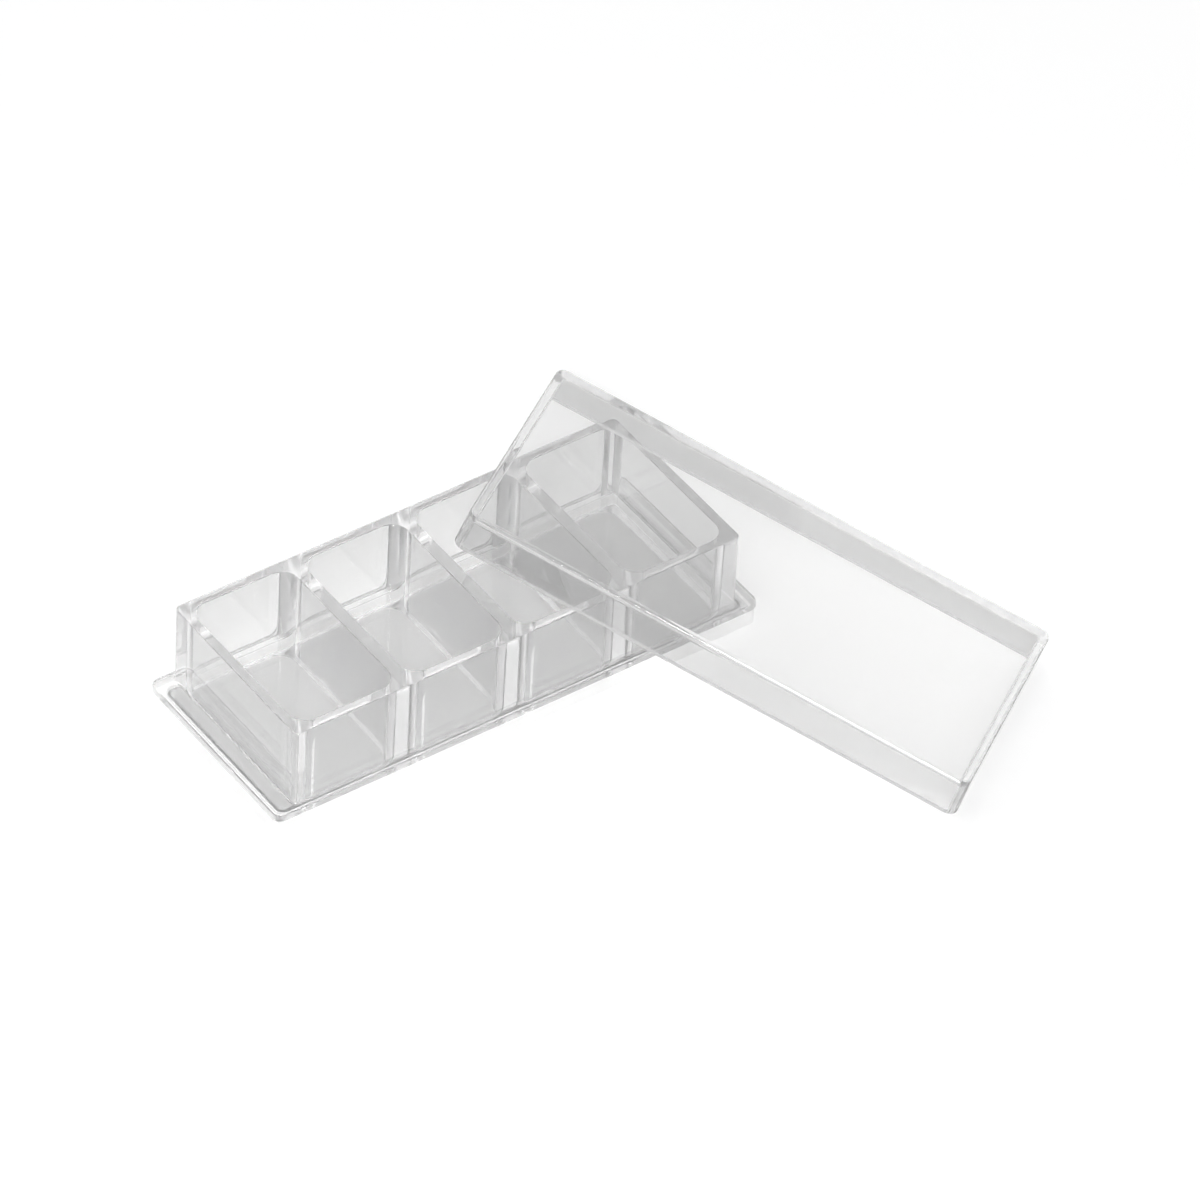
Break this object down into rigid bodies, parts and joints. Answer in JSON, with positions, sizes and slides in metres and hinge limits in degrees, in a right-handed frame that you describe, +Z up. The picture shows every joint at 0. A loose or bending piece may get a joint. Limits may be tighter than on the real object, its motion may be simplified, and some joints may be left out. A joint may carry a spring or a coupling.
{
  "type": "chamber slide",
  "caption": "Clear multi-well culture chamber on a glass-bottomed slide, with its shallow clear lid set down askew across one end.",
  "frame": {"origin": "centre of the slide's underside, on the table", "axes": "+Z up; +X along the slide towards the end under the lid; +Y across the slide, away from the lid's low end"},
  "size_m": [0.0817, 0.0612, 0.0213],
  "materials": {
    "chamber_polystyrene": "clear crystal polystyrene, polished",
    "slide_glass": "clear, polished",
    "lid_polystyrene": "clear crystal polystyrene, polished"
  },
  "bodies": {
    "root": {"chamber_body": "chamber_polystyrene", "glass_slide": "slide_glass", "lid": "lid_polystyrene"}
  },
  "joints": []
}
